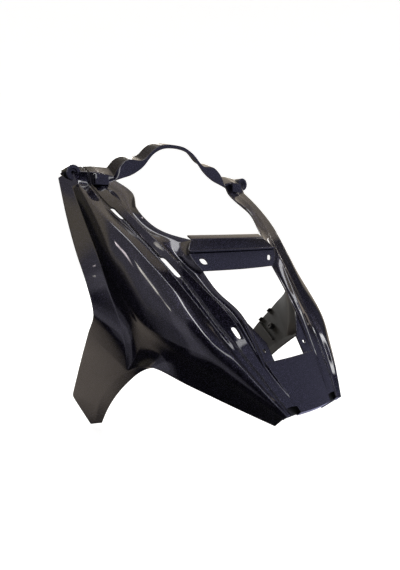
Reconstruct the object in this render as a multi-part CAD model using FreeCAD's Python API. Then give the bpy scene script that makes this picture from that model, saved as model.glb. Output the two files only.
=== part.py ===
import FreeCAD, Part
import os

V = FreeCAD.Vector

# Motorcycle front fairing: one moulded shell, all sizes in millimetres.
# Its feature lines are drawn as shares of the overall sizes, from the middle of the nose's edge.
# The right half is drawn and mirrored. At the end the part is moved so that the origin lies
# midway between the two top screw bosses.

WIDTH = 486.0           # over the rear edges of the side panels
DEPTH = 441.0           # from the nose back to the rear corner of the wings
HEIGHT = 563.0          # from the tips of the wings to the top of the strip
WALL = 3.0              # wall of the moulding
CROWN = 14.0            # swell of the side panel below the shoulder line
SCOOP = 9.0             # hollow of the side panel above its lower edge
WELL = 7.0              # hollow between the frame line and the openings
LIP_DROP = 9.0          # turned-under lip along the nose edge
DECK_DEPTH = 30.0       # flange that runs back from the top edge and the strip
LEDGE_DEPTH = 13.0      # flange back from the crossbar's upper edge
LEDGE_RISE = 5.0        # how far that flange rises to the rear
BEAD = 3.5              # bead along the crossbar face

SLOT_WIDTH = 9.0        # clip slots in the channel
SLOT_LENGTHS = (24.0, 48.0, 36.0)
BAR_HOLE = 12.0         # square holes in the crossbar
BAR_HOLE_SHARE = 0.817  # how far out along the crossbar they are
NOTCH_WIDTH = 21.0      # notches in the nose edge
NOTCH_DEPTH = 11.0
POCKET_DEPTH = 8.5      # from the nose panel back to the plate behind each notch
POCKET_HEIGHT = 21.0    # that plate, up the panel

BOSS_DROP = 4.0         # top screw bosses, below the top edge
BOSS_R = 15.0
BOSS_LENGTH = 26.0
BOSS_PROUD = 6.0        # how far the boss face stands before its middle place
SCREW_R = 3.25
HEAD_R = 7.5            # recess for the screw's head
HEAD_DEPTH = 3.0
CLIP_WIDTH = 28.0       # clip blocks below the top flange
CLIP_HEIGHT = 20.0
CLIP_DEPTH = 16.0
CLIP_SLOT = 6.0
GUSSET_HEIGHT = 78.0    # corner gussets of the lower opening
GUSSET_WIDTH = 22.0
WING_BOSS_R = 7.2       # bosses inside the wings
WING_SCREW_R = 2.3
RIB_THICK = 2.5         # ribs and tabs inside the wings
RIB_HEIGHT = 9.0
TAB_LENGTH = 12.0
TAB_REACH = 9.0


def at(across, back, up):
    """Place from thousandths of the half width, the depth and the height."""
    return V(across * WIDTH / 2000, back * DEPTH / 1000, up * HEIGHT / 1000)


# Stations up the arm, with the place of each feature line at them.
ARM = ("nose", "sill", "window", "apex", "bar_low", "bar_mid", "bar_top", "hip", "arm", "brace", "top")
SHOULDER = dict(zip(ARM, (
    at(272, 0, 0), at(424, 125, 119), at(539, 288, 243), at(605, 370, 304), at(667, 449, 362),
    at(716, 517, 410), at(757, 578, 453), at(802, 649, 497), at(848, 748, 552), at(864, 825, 595),
    at(872, 909, 638))))
CHANNEL = dict(zip(ARM, (
    at(239, 5, 0), at(391, 136, 117), at(481, 288, 238), at(527, 370, 300), at(572, 451, 361),
    at(613, 522, 410), at(654, 590, 456), at(704, 667, 501), at(757, 757, 551), at(778, 830, 593),
    at(790, 907, 636))))
FRAME = dict(zip(ARM, (
    at(189, 2, 2), at(276, 132, 124), at(350, 254, 249), at(416, 336, 309), at(486, 417, 368),
    at(539, 481, 412), at(584, 544, 456), at(626, 608, 497), at(671, 696, 552), at(695, 787, 599),
    at(708, 887, 641))))
OPENING = dict(zip(ARM, (
    at(148, -2, 0), at(239, 125, 121), at(272, 245, 252), at(333, 333, 307), at(354, 406, 362),
    at(428, 442, 419), at(362, 476, 456), at(523, 599, 494), at(584, 694, 556), at(519, 785, 609),
    at(584, 880, 655))))
RIDGE = dict(zip(ARM, (
    at(276, 14, -9), at(449, 154, 59), at(617, 238, 123), at(724, 336, 169), at(802, 433, 215),
    at(840, 510, 268), at(872, 587, 330), at(905, 673, 417), at(905, 771, 515), at(901, 841, 575),
    at(893, 918, 632))))
HEM = dict(zip(ARM, (
    at(239, 73, -52), at(399, 181, -11), at(617, 311, 48), at(794, 424, 96), at(835, 540, 62),
    at(860, 553, 190), at(881, 621, 293), at(893, 721, 423), at(905, 823, 529), at(909, 875, 581),
    at(909, 927, 629))))
CENTRE = {"nose": at(0, -9, 0), "sill": at(0, 118, 121), "bar_low": at(0, 390, 362),
          "bar_mid": at(0, 429, 419), "bar_top": at(0, 463, 456)}
TURNED = {"nose": at(210, 82, -41), "sill": at(366, 188, 0), "window": at(580, 317, 57),
          "apex": at(757, 424, 89), "bar_low": at(807, 503, 55), "wing": at(823, 612, -14),
          "corner": at(827, 744, -117), "tip": at(823, 803, -181)}
ARCH = {"bar_low": HEM["bar_low"], "wing": at(856, 644, 7), "corner": at(860, 782, -103),
        "tip": at(860, 825, -185)}
REAR = {"tip": at(889, 844, -188), "corner": at(930, 991, -117), "wing": at(955, 832, 57),
        "bar_low": at(988, 707, 167), "bar_mid": at(1000, 639, 234), "bar_top": at(1000, 689, 316),
        "hip": at(996, 798, 421), "arm": at(988, 902, 542), "brace": at(984, 943, 602),
        "top": at(979, 982, 659)}
# The arm's top wall: its upper edge, and the reach and rise of the flange behind it.
REAR["crest"] = at(955, 976, 667)
HEM["crest"] = at(932, 959, 672)
RIDGE["crest"] = at(917, 953, 676)
SHOULDER["crest"] = at(889, 943, 682)
CHANNEL["crest"] = at(794, 918, 680)
FRAME["crest"] = at(708, 900, 679)
OPENING["crest"] = at(584, 889, 668)
TOP_LINES = (REAR, HEM, RIDGE, SHOULDER, CHANNEL, FRAME, OPENING)
DECK_REACH = (0.25, 0.5, 0.6, 0.7, 0.9, 1.0, 1.0)
DECK_RISE = (0.13, 0.23, 0.3, 0.33, 0.43, 0.5, 0.67)
# The strip over the upper opening, from the middle out to the foot on the arm.
STRIP = ("middle", "crown", "haunch", "dip", "shelf", "slope", "foot")
STRIP_EDGE = dict(zip(STRIP, (
    at(0, 887, 799), at(119, 887, 794), at(210, 884, 773), at(325, 882, 730), at(453, 887, 730),
    at(519, 887, 710), OPENING["crest"])))
STRIP_HEM = dict(zip(STRIP, (
    at(0, 882, 787), at(119, 882, 780), at(210, 882, 758), at(325, 880, 705), at(436, 880, 675),
    at(510, 880, 664), OPENING["top"])))
STRIP_RISE = dict(zip(STRIP, (0.2, 0.27, 0.4, 0.43, 0.33, 0.47, 0.67)))

STRIP_REAR = {s: p + V(0, DECK_DEPTH, DECK_DEPTH * STRIP_RISE[s]) for s, p in STRIP_EDGE.items()}
for line, reach, rise in zip(TOP_LINES, DECK_REACH, DECK_RISE):
    line["deck"] = line["crest"] + V(0, DECK_DEPTH * reach, DECK_DEPTH * rise)
for line in (SHOULDER, CHANNEL, FRAME, OPENING):
    line["lip"] = line["nose"] + V(0, LIP_DROP, -LIP_DROP)
CENTRE["lip"] = CENTRE["nose"] + V(0, LIP_DROP, -LIP_DROP)
BROW = {s: V(OPENING[s].x / 2, p.y, p.z) for s, p in CENTRE.items()}

CROWN_SHARE = dict(zip(ARM, (0.1, 0.75, 1.0, 0.8, 0.5, 0.45, 0.4, 0.35, 0.2, 0.1, 0.0)))
SCOOP_SHARE = dict(zip(ARM, (0.0, 0.2, 0.6, 0.9, 1.0, 0.6, 0.2, 0.0, 0.0, 0.0, 0.0)))
WELL_SHARE = dict(zip(ARM, (0.0, 0.3, 0.8, 1.0, 1.0, 1.0, 1.0, 1.0, 1.0, 0.8, 0.2)))


def belly(upper, lower, share, height):
    """Middle line of a band, lifted off the flat by its share of the height."""
    line = {}
    for k, s in enumerate(ARM):
        before = ARM[max(k - 1, 0)]
        after = ARM[min(k + 1, len(ARM) - 1)]
        across = lower[s] - upper[s]
        along = (upper[after] - upper[before]) + (lower[after] - lower[before])
        line[s] = (upper[s] + lower[s]) * 0.5 + across.cross(along).normalize() * (2 * height * share[s])
    for s in ("lip", "crest", "deck"):
        if s in upper and s in lower:
            line[s] = (upper[s] + lower[s]) * 0.5
    return line


CROWN_LINE = belly(SHOULDER, RIDGE, CROWN_SHARE, CROWN)
SCOOP_LINE = belly(RIDGE, HEM, SCOOP_SHARE, -SCOOP)
WELL_LINE = belly(OPENING, FRAME, WELL_SHARE, -WELL)


# Each line's stations in order, split where the line has a corner.
UP = ARM[:]
SMOOTH = [("lip", "nose"), UP, ("top", "crest"), ("crest", "deck")]
CHAINS = {
    id(SHOULDER): SMOOTH, id(CHANNEL): SMOOTH, id(FRAME): SMOOTH,
    id(OPENING): [("lip", "nose"), ("nose", "sill"), UP[1:5], UP[4:7], UP[6:],
                  ("top", "crest"), ("crest", "deck")],
    id(RIDGE): SMOOTH[1:], id(CROWN_LINE): SMOOTH[1:], id(SCOOP_LINE): SMOOTH[1:], id(WELL_LINE): SMOOTH,
    id(HEM): [UP[:5], UP[4:], ("top", "crest"), ("crest", "deck")],
    id(TURNED): [UP[:5], ("tip", "corner", "wing", "bar_low")],
    id(ARCH): [("tip", "corner", "wing", "bar_low")],
    id(REAR): [("tip", "corner"), ("corner", "wing") + UP[4:], ("top", "crest"), ("crest", "deck")],
    id(CENTRE): [("lip", "nose"), ("nose", "sill"), UP[4:7]],
    id(BROW): [("lip", "nose"), ("nose", "sill"), UP[4:7]],
    id(STRIP_HEM): [STRIP], id(STRIP_EDGE): [STRIP], id(STRIP_REAR): [STRIP],
}


def bezier(line, places, run):
    """Smooth curve through a run of the line's stations, as joined cubic pieces: 3n+1 poles."""
    chain = [c for c in CHAINS[id(line)] if set(run) <= set(c)][0]
    pts = [places[s] for s in chain]
    last = len(pts) - 1
    gaps = [pts[k].distanceToPoint(pts[k + 1]) for k in range(last)]
    slopes = [(pts[k + 1] - pts[k]) * (1 / gaps[k]) for k in range(last)]
    dirs = []
    for k in range(1, last):
        dirs.append((slopes[k - 1] * gaps[k] + slopes[k] * gaps[k - 1]) * (1 / (gaps[k - 1] + gaps[k])))
    if dirs:
        dirs = [slopes[0] * 1.5 - dirs[0] * 0.5] + dirs + [slopes[-1] * 1.5 - dirs[-1] * 0.5]
    else:
        dirs = [slopes[0], slopes[0]]
    if chain is STRIP:
        dirs[0] = V(1, 0, 0)
    poles = [pts[0]]
    for k in range(last):
        third = gaps[k] / 3
        poles += [pts[k] + dirs[k] * third, pts[k + 1] - dirs[k + 1] * third, pts[k + 1]]
    first = chain.index(run[0])
    return poles[3 * first:3 * (first + len(run) - 1) + 1]


def spline_face(net):
    """Face over a net of poles, one Bezier piece each way."""
    surface = Part.BSplineSurface()
    rows = len(net)
    columns = len(net[0])
    surface.buildFromPolesMultsKnots(net, [rows, rows], [columns, columns], [0.0, 1.0], [0.0, 1.0],
                                     False, False, rows - 1, columns - 1)
    return surface.toShape()


# Each band: its lines from the middle outwards, and the runs of stations that it has.
NOSE_RUN = ("lip", "nose")
TOP_RUNS = [("top", "crest"), ("crest", "deck")]
WING = [("tip", "corner"), ("corner", "wing", "bar_low")]
FLAT = [NOSE_RUN, UP] + TOP_RUNS
BANDS = [
    ((CENTRE, BROW, OPENING), [NOSE_RUN, UP[:2], UP[4:7]], 1),
    ((OPENING, WELL_LINE, FRAME), FLAT, 1),
    ((FRAME, CHANNEL), FLAT, 1),
    ((CHANNEL, SHOULDER), FLAT, 1),
    ((SHOULDER, CROWN_LINE, RIDGE), FLAT[1:], 1),
    ((RIDGE, SCOOP_LINE, HEM), FLAT[1:], 1),
    ((HEM, TURNED), [UP[:5]], 1),
    ((TURNED, ARCH), WING, 1),
    ((ARCH, REAR), WING, 1),
    ((HEM, REAR), [UP[4:]] + TOP_RUNS, 1),
    ((STRIP_HEM, STRIP_EDGE), [STRIP], -1),
    ((STRIP_EDGE, STRIP_REAR), [STRIP], -1),
]
PIECES = []
for lines, runs, side in BANDS:
    for run in runs:
        PIECES += [(lines, pair, side) for pair in zip(run, run[1:])]


def key(p):
    return (round(p.x, 3), round(p.y, 3), round(p.z, 3))


def inward(normals):
    """Step that moves a point back by one unit along every normal that meets in it."""
    m = FreeCAD.Matrix()
    total = V(0, 0, 0)
    a = [[0.0] * 3 for _ in range(3)]
    for n in normals:
        total += n
        for r in range(3):
            for c in range(3):
                a[r][c] += n[r] * n[c]
    soft = 0.02 * len(normals)
    m.A = (a[0][0] + soft, a[0][1], a[0][2], 0, a[1][0], a[1][1] + soft, a[1][2], 0,
           a[2][0], a[2][1], a[2][2] + soft, 0, 0, 0, 0, 1)
    return m.inverse().multVec(total) * -1


# Normals of every band at every station, and the inner skin's lines from them.
normals = {}
middles = {}
for lines, run, side in PIECES:
    for line in (lines[0], lines[-1]):
        row = bezier(line, line, run)
        for s, along in zip(run, (row[1] - row[0], row[3] - row[2])):
            if len(lines) == 2:
                across = lines[1][s] - lines[0][s]
            elif line is lines[0]:
                across = lines[1][s] - lines[0][s]
            else:
                across = lines[2][s] - lines[1][s]
            n = across.cross(along).normalize() * side
            normals.setdefault(key(line[s]), []).append(n)
            if len(lines) == 3:
                middles.setdefault(key(lines[1][s]), []).append(n)


def inner_line(line):
    moved = {}
    for s, p in line.items():
        found = normals.get(key(p)) or middles.get(key(p))
        if not found:
            continue
        if abs(p.x) < 1e-6:
            found = found + [V(-n.x, n.y, n.z) for n in found]
        moved[s] = p + inward(found) * WALL
    return moved


inner = {}
for lines, runs, side in BANDS:
    for line in lines:
        inner[id(line)] = inner_line(line)

# Outer and inner skins, and the rims that close them along the free edges.
faces = []
edges = {}
for lines, run, side in PIECES:
    outer_net = [bezier(line, line, run) for line in lines]
    inner_net = [bezier(line, inner[id(line)], run) for line in lines]
    faces += [spline_face(outer_net), spline_face(inner_net)]
    for e in (0, -1):
        along = (outer_net[e], inner_net[e])
        across = ([row[e] for row in outer_net], [row[e] for row in inner_net])
        for pair in (along, across):
            ends = tuple(sorted((key(pair[0][0]), key(pair[0][-1]))))
            edges.setdefault(ends, []).append(pair)
for ends, uses in edges.items():
    in_middle = all(abs(p[0]) < 1e-6 for p in ends)
    if len(uses) == 1 and not in_middle:
        faces.append(spline_face(list(uses[0])))
mirrored = [f.mirror(V(0, 0, 0), V(1, 0, 0)) for f in faces]
skin = Part.Compound(faces + mirrored)
skin.sewShape()
body = Part.Solid(skin.Shells[0])
if body.Volume < 0:
    body.reverse()


def spot(line, run, u):
    """Point and direction on a line, u pieces into the run."""
    poles = bezier(line, line, run)
    k = min(int(u), (len(poles) - 1) // 3 - 1)
    a, b, c, d = poles[3 * k:3 * k + 4]
    t = u - k
    point = a * (1 - t) ** 3 + b * (3 * t * (1 - t) ** 2) + c * (3 * t * t * (1 - t)) + d * t ** 3
    way = (b - a) * (1 - t) ** 2 + (c - b) * (2 * t * (1 - t)) + (d - c) * t ** 2
    return point, way.normalize()


def place_on(lines, run, u, v):
    """Place on a band: the point, the way along it, the way across it and the way out of it."""
    p, way_p = spot(lines[0], run, u)
    q, way_q = spot(lines[-1], run, u)
    along = (way_p * (1 - v) + way_q * v).normalize()
    out = (q - p).cross(along).normalize()
    return p * (1 - v) + q * v, along, along.cross(out), out


def block(centre, along, across, out, length, width, low, high):
    """Box with its length and width centred on a place, from low to high along the way out."""
    box = Part.makeBox(length, width, high - low, V(-length / 2, -width / 2, low))
    turn = FreeCAD.Matrix()
    turn.A = (along.x, across.x, out.x, centre.x, along.y, across.y, out.y, centre.y,
              along.z, across.z, out.z, centre.z, 0, 0, 0, 1)
    return box.transformGeometry(turn)


added = []
removed = []
THROUGH = 4 * WALL

# Clip slots in the channel, square holes in the crossbar, and notches in the nose edge with a plate
# behind each.
SLOT_PLACES = ((1.62, 0.2), (4.3, 0.7), (7.76, 0.72))
for (u, v), length in zip(SLOT_PLACES, SLOT_LENGTHS):
    place = place_on((FRAME, CHANNEL), UP, u, v)
    removed.append(block(*place, length, SLOT_WIDTH, -THROUGH, THROUGH))
bar_middle, bar_up, bar_side, bar_out = place_on((CENTRE, OPENING), UP[4:7], 0.5, 0.0)
bar_end, _ = spot(OPENING, UP[4:7], 0.5)
hole_at = bar_middle + V(bar_end.x * BAR_HOLE_SHARE, (bar_end.y - bar_middle.y) * BAR_HOLE_SHARE ** 2, 0)
removed.append(block(hole_at, bar_up, bar_side, bar_out, BAR_HOLE, BAR_HOLE, -THROUGH, THROUGH))
nose_up = (CENTRE["sill"] - CENTRE["nose"]).normalize()
nose_out = V(1, 0, 0).cross(nose_up)
notch_at = V(FRAME["nose"].x - WALL / 2, 0, 0) + nose_up * (NOTCH_DEPTH / 2 - LIP_DROP)
removed.append(block(notch_at, nose_up, V(1, 0, 0), nose_out, NOTCH_DEPTH + 2 * LIP_DROP, NOTCH_WIDTH,
                     -2 * THROUGH, THROUGH))
plate_at = V(notch_at.x, 0, 0) + nose_up * (POCKET_HEIGHT / 2)
added.append(block(plate_at, nose_up, V(1, 0, 0), nose_out, POCKET_HEIGHT, NOTCH_WIDTH + 6 * WALL,
                   -POCKET_DEPTH - WALL, -POCKET_DEPTH))

# Bead along the crossbar below its upper edge, and the flange back from that edge.
def along_bar(station, profile):
    """Prism of a profile in the depth and height plane, bowed like the crossbar."""
    end = OPENING[station]
    middle = CENTRE[station]
    half = end.x
    sections = []
    for x, shift in ((-half, end - middle), (0, V(0, 0, 0)), (half, end - middle)):
        ring = [V(x, middle.y + y + shift.y, middle.z + z) for y, z in profile]
        sections.append(Part.makePolygon(ring + ring[:1]))
    return Part.makeLoft(sections, True, False)


bar_parts = [
    along_bar("bar_mid", [(-BEAD, 0), (-BEAD, BEAD), (WALL / 2, BEAD), (WALL / 2, 0)]),
    along_bar("bar_top", [(0, -WALL / 2), (LEDGE_DEPTH, LEDGE_RISE), (LEDGE_DEPTH, LEDGE_RISE + WALL),
                          (0, WALL / 2)]),
]

# Screw boss on the outer end of the top flange.
back = V(0, 1, 0)
boss_at = SHOULDER["crest"] - V(0, 0, BOSS_DROP)
boss_front = boss_at - back * BOSS_PROUD
added.append(Part.makeCylinder(BOSS_R, BOSS_LENGTH, boss_front, back))
removed.append(Part.makeCylinder(SCREW_R, BOSS_LENGTH + 2 * WALL, boss_front - back * WALL, back))
removed.append(Part.makeCylinder(HEAD_R, HEAD_DEPTH + WALL, boss_front - back * WALL, back))

# Clip block below the top flange, with a slot from its outer side.
clip_x = FRAME["top"].x
clip_y = FRAME["crest"].y - CLIP_DEPTH
clip_z = FRAME["top"].z - WALL
added.append(Part.makeBox(CLIP_WIDTH, CLIP_DEPTH + WALL / 2, CLIP_HEIGHT,
                          V(clip_x - CLIP_WIDTH / 2, clip_y, clip_z)))
removed.append(Part.makeBox(CLIP_WIDTH * 0.6, CLIP_SLOT, CLIP_HEIGHT - 2 * WALL,
                            V(clip_x, clip_y + WALL, clip_z - WALL)))

# Gusset in the lower corner of the lower opening, with a screw hole.
corner, up, side, out = place_on((OPENING, FRAME), UP[1:5], 0.0, 0.0)
upper, _ = spot(OPENING, UP[1:5], GUSSET_HEIGHT / corner.distanceToPoint(OPENING["window"]))
lower = corner - V(GUSSET_WIDTH, 0, 0)
plane = (upper - corner).cross(lower - corner).normalize()
if plane.y > 0:
    plane = plane * -1
bury = WALL / 2
root = V(1.5 * WALL, 0, 0)
seat = [corner + root - up * root.x, upper + root, upper, lower + up * (GUSSET_HEIGHT * 0.4),
        lower - up * root.x]
seat = [p - plane * (bury + plane.dot(p - corner)) for p in seat]
added.append(Part.Face(Part.makePolygon(seat + seat[:1])).extrude(plane * -WALL))
hole_at = corner - V(GUSSET_WIDTH * 0.45, 0, 0) + up * (GUSSET_HEIGHT * 0.25)
removed.append(Part.makeCylinder(SCREW_R, 4 * THROUGH, hole_at + plane * 2 * THROUGH, plane * -1))

# Ribs and a boss on the inner face of the wing, tabs on its rear edge.
for u in (0.75, 1.2):
    p, _ = spot(ARCH, WING[1], u)
    q, _ = spot(REAR, WING[1], u)
    middle, along, across, out = place_on((ARCH, REAR), WING[1], u, 0.5)
    ruling = (q - p).normalize()
    added.append(block(middle, ruling, ruling.cross(out), out, p.distanceToPoint(q) * 0.8, RIB_THICK,
                       -WALL / 2 - RIB_HEIGHT, -WALL / 2))
middle, along, across, out = place_on((ARCH, REAR), WING[1], 1.5, 0.5)
added.append(Part.makeCylinder(WING_BOSS_R, RIB_HEIGHT + WALL, middle - out * (WALL / 2), out * -1))
removed.append(Part.makeCylinder(WING_SCREW_R, RIB_HEIGHT + WALL, middle - out * WALL, out * -1))
for u in (1.3, 1.72):
    edge, along, across, out = place_on((ARCH, REAR), WING[1], u, 1.0)
    added.append(block(edge - across * WALL, along, across, out, TAB_LENGTH, RIB_THICK,
                       -WALL / 2 - TAB_REACH, -WALL / 2))

# The right half takes its features and cuts and is then mirrored.
right = Part.makeBox(WIDTH, 3 * DEPTH, 3 * HEIGHT, V(0, -DEPTH, -HEIGHT))
half = body.common(right).fuse(added + [s.common(right) for s in bar_parts])
half = half.cut(removed)
body = half.fuse(half.mirror(V(0, 0, 0), V(1, 0, 0))).Solids[0]
body.translate(V(0, -boss_at.y, -boss_at.z))
os.makedirs("parts", exist_ok=True)
body.exportStep("parts/front_fairing.step")
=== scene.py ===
import math

import bmesh
import bpy
import numpy as np
from mathutils import Matrix, Vector


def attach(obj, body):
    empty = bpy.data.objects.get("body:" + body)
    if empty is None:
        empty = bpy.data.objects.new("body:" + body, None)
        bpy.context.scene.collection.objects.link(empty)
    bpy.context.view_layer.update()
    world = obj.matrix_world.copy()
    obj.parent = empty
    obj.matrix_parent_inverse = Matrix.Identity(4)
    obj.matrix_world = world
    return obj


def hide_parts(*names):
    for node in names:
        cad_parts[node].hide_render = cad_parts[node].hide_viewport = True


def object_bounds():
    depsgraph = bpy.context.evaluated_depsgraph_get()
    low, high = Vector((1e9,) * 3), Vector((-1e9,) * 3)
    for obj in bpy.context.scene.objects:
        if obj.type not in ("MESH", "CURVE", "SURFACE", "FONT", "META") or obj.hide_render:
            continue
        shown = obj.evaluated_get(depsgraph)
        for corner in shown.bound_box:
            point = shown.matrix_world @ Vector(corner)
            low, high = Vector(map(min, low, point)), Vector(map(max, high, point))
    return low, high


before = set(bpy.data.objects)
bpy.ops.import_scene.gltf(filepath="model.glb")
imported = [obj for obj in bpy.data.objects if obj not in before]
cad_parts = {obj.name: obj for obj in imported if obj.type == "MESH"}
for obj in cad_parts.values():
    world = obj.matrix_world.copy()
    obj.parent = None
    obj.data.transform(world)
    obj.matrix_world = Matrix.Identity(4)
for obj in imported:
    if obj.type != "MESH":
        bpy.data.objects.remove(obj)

bl_info = {
    "name": "Motorcycle Front Fairing",
    "version": (1, 0, 0),
    "blender": (4, 5, 0),
    "location": "View3D > Sidebar > Fairing",
    "description": "Painted moulded front fairing with its bosses, clips and ribs, on a studio floor",
    "category": "Add Mesh",
}

CAD_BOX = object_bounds()
NODE = "front_fairing"
BODY = "root"
MM = 0.001

# Stations up the arm, and the feature lines' places there on the right half, as thousandths of the
# half width, the depth and the height, from the middle of the nose's edge.
ARM = ("nose", "sill", "window", "apex", "bar_low", "bar_mid", "bar_top", "hip", "arm", "brace", "top")
STRIP = ("middle", "crown", "haunch", "dip", "shelf", "slope", "foot")
SHARES = {
    "shoulder": dict(zip(ARM, (
        (272, 0, 0), (424, 125, 119), (539, 288, 243), (605, 370, 304), (667, 449, 362), (716, 517, 410),
        (757, 578, 453), (802, 649, 497), (848, 748, 552), (864, 825, 595), (872, 909, 638)))),
    "channel": dict(zip(ARM, (
        (239, 5, 0), (391, 136, 117), (481, 288, 238), (527, 370, 300), (572, 451, 361), (613, 522, 410),
        (654, 590, 456), (704, 667, 501), (757, 757, 551), (778, 830, 593), (790, 907, 636)))),
    "frame": dict(zip(ARM, (
        (189, 2, 2), (276, 132, 124), (350, 254, 249), (416, 336, 309), (486, 417, 368), (539, 481, 412),
        (584, 544, 456), (626, 608, 497), (671, 696, 552), (695, 787, 599), (708, 887, 641)))),
    "opening": dict(zip(ARM, (
        (148, -2, 0), (239, 125, 121), (272, 245, 252), (333, 333, 307), (354, 406, 362), (428, 442, 419),
        (362, 476, 456), (523, 599, 494), (584, 694, 556), (519, 785, 609), (584, 880, 655)))),
    "ridge": dict(zip(ARM, (
        (276, 14, -9), (449, 154, 59), (617, 238, 123), (724, 336, 169), (802, 433, 215), (840, 510, 268),
        (872, 587, 330), (905, 673, 417), (905, 771, 515), (901, 841, 575), (893, 918, 632)))),
    "hem": dict(zip(ARM, (
        (239, 73, -52), (399, 181, -11), (617, 311, 48), (794, 424, 96), (835, 540, 62), (860, 553, 190),
        (881, 621, 293), (893, 721, 423), (905, 823, 529), (909, 875, 581), (909, 927, 629)))),
    "centre": {"nose": (0, -9, 0), "sill": (0, 118, 121), "bar_low": (0, 390, 362),
               "bar_mid": (0, 429, 419), "bar_top": (0, 463, 456)},
    "turned": {"nose": (210, 82, -41), "sill": (366, 188, 0), "window": (580, 317, 57),
               "apex": (757, 424, 89), "bar_low": (807, 503, 55), "wing": (823, 612, -14),
               "corner": (827, 744, -117), "tip": (823, 803, -181)},
    "arch": {"bar_low": (835, 540, 62), "wing": (856, 644, 7), "corner": (860, 782, -103),
             "tip": (860, 825, -185)},
    "rear": {"tip": (889, 844, -188), "corner": (930, 991, -117), "wing": (955, 832, 57),
             "bar_low": (988, 707, 167), "bar_mid": (1000, 639, 234), "bar_top": (1000, 689, 316),
             "hip": (996, 798, 421), "arm": (988, 902, 542), "brace": (984, 943, 602),
             "top": (979, 982, 659)},
    "strip_edge": dict(zip(STRIP, (
        (0, 887, 799), (119, 887, 794), (210, 884, 773), (325, 882, 730), (453, 887, 730),
        (519, 887, 710), (584, 889, 668)))),
    "strip_hem": dict(zip(STRIP, (
        (0, 882, 787), (119, 882, 780), (210, 882, 758), (325, 880, 705), (436, 880, 675),
        (510, 880, 664), (584, 880, 655)))),
}
# The arm's top edge, with the reach and rise of the flange behind it as shares of the flange's depth.
CREST = {
    "rear": ((955, 976, 667), 0.25, 0.13), "hem": ((932, 959, 672), 0.5, 0.23),
    "ridge": ((917, 953, 676), 0.6, 0.3), "shoulder": ((889, 943, 682), 0.7, 0.33),
    "channel": ((794, 918, 680), 0.9, 0.43), "frame": ((708, 900, 679), 1.0, 0.5),
    "opening": ((584, 889, 668), 1.0, 0.67),
}
# Rise of the flange behind the strip at its stations, as a share of the flange's depth.
STRIP_RISE = (0.2, 0.27, 0.4, 0.43, 0.33, 0.47, 0.67)
# How much of the crown, the scoop and the well there is at each station of the arm.
CROWN_SHARE = (0.1, 0.75, 1.0, 0.8, 0.5, 0.45, 0.4, 0.35, 0.2, 0.1, 0.0)
SCOOP_SHARE = (0.0, 0.2, 0.6, 0.9, 1.0, 0.6, 0.2, 0.0, 0.0, 0.0, 0.0)
WELL_SHARE = (0.0, 0.3, 0.8, 1.0, 1.0, 1.0, 1.0, 1.0, 1.0, 0.8, 0.2)

# Each line's stations in order, split where the line has a corner.
LIP = ("lip", "nose")
WALL_RUN = ("top", "crest")
DECK_RUN = ("crest", "deck")
WING = ("tip", "corner", "wing", "bar_low")
FULL = [LIP, ARM, WALL_RUN, DECK_RUN]
CHAINS = {
    "shoulder": FULL, "channel": FULL, "frame": FULL, "well": FULL,
    "ridge": FULL, "crown": FULL, "scoop": FULL,
    "opening": [LIP, ARM[:2], ARM[1:5], ARM[4:7], ARM[6:], WALL_RUN, DECK_RUN],
    "hem": [ARM[:5], ARM[4:], WALL_RUN, DECK_RUN],
    "turned": [ARM[:5], WING], "arch": [WING],
    "rear": [WING[:2], WING[1:3] + ARM[4:], WALL_RUN, DECK_RUN],
    "centre": [LIP, ARM[:2], ARM[4:7]], "brow": [LIP, ARM[:2], ARM[4:7]],
    "strip_hem": [STRIP], "strip_edge": [STRIP], "strip_rear": [STRIP],
}
# The band that holds the clip slots and the groove.
CHANNEL_BAND = ("frame", "channel")
# Bands of the skin: lines from the middle outwards, runs of stations, columns (0 where slots or flanges set
# them), and which way is out.
BANDS = [
    (("centre", "brow", "opening"), [LIP, ARM[:2], ARM[4:7]], 6, 1),
    (("opening", "well", "frame"), FULL, 6, 1),
    (CHANNEL_BAND, FULL, 0, 1),
    (("channel", "shoulder"), FULL, 3, 1),
    (("shoulder", "crown", "ridge"), FULL[1:], 9, 1),
    (("ridge", "scoop", "hem"), FULL[1:], 7, 1),
    (("hem", "turned"), [ARM[:5]], 2, 1),
    (("turned", "arch"), [WING], 2, 1),
    (("arch", "rear"), [WING], 5, 1),
    (("hem", "rear"), [ARM[4:], WALL_RUN, DECK_RUN], 5, 1),
    (("strip_hem", "strip_edge"), [STRIP], 0, -1),
    (("strip_edge", "strip_rear"), [STRIP], 0, -1),
]
# How far from each line the nearest column lies, in mm: small keeps the crease tight.
TIGHT = {"centre": 0.0, "opening": 1.0, "frame": 2.4, "channel": 1.4, "shoulder": 3.0, "ridge": 9.0,
         "hem": 2.2, "turned": 1.0, "arch": 2.2, "rear": 1.2}
# Clip slots: how far up the arm and across from the frame line to the channel line.
SLOT_PLACES = ((1.62, 0.2), (4.3, 0.7), (7.76, 0.72))
# The groove in the channel: how far up the arm and across, broken by the second and third slot.
GROOVE = ((0.0, 0.88), (0.75, 0.6), (1.45, 0.68), (1.9, 0.78), (2.85, 0.68), (3.6, 0.6), (5.0, 0.84),
          (6.15, 0.88), (7.3, 0.66), (8.2, 0.82), (9.0, 0.86), (10.0, 0.86))
# Rows of the skin: the usual step, the row beside an edge, and the rows across a rim as shares of it.
ROW_STEP = 12.0 * MM
CLOSE_ROW = 1.1 * MM
RIM_SHARES = (0.28, 0.72)
# Rows as shares of the nose lip and of the flanges, and the fewest steps between two stations.
LIP_ROWS = (0, 0.3, 0.6, 0.9, 1)
FLANGE_ROWS = (0, 0.06, 0.35, 0.65, 0.94, 1)
FEWEST_STEPS = 4
# Steps between two stations for measuring along the arm.
FINE = 40
# Stations or places that differ by less are the same one.
NEAR = 1e-6
# Gussets: how far up their free edge reaches, and where the screw hole is across and up them.
GUSSET_FREE_SHARE = 0.4
GUSSET_HOLE_SHARES = (0.45, 0.25)
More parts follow.
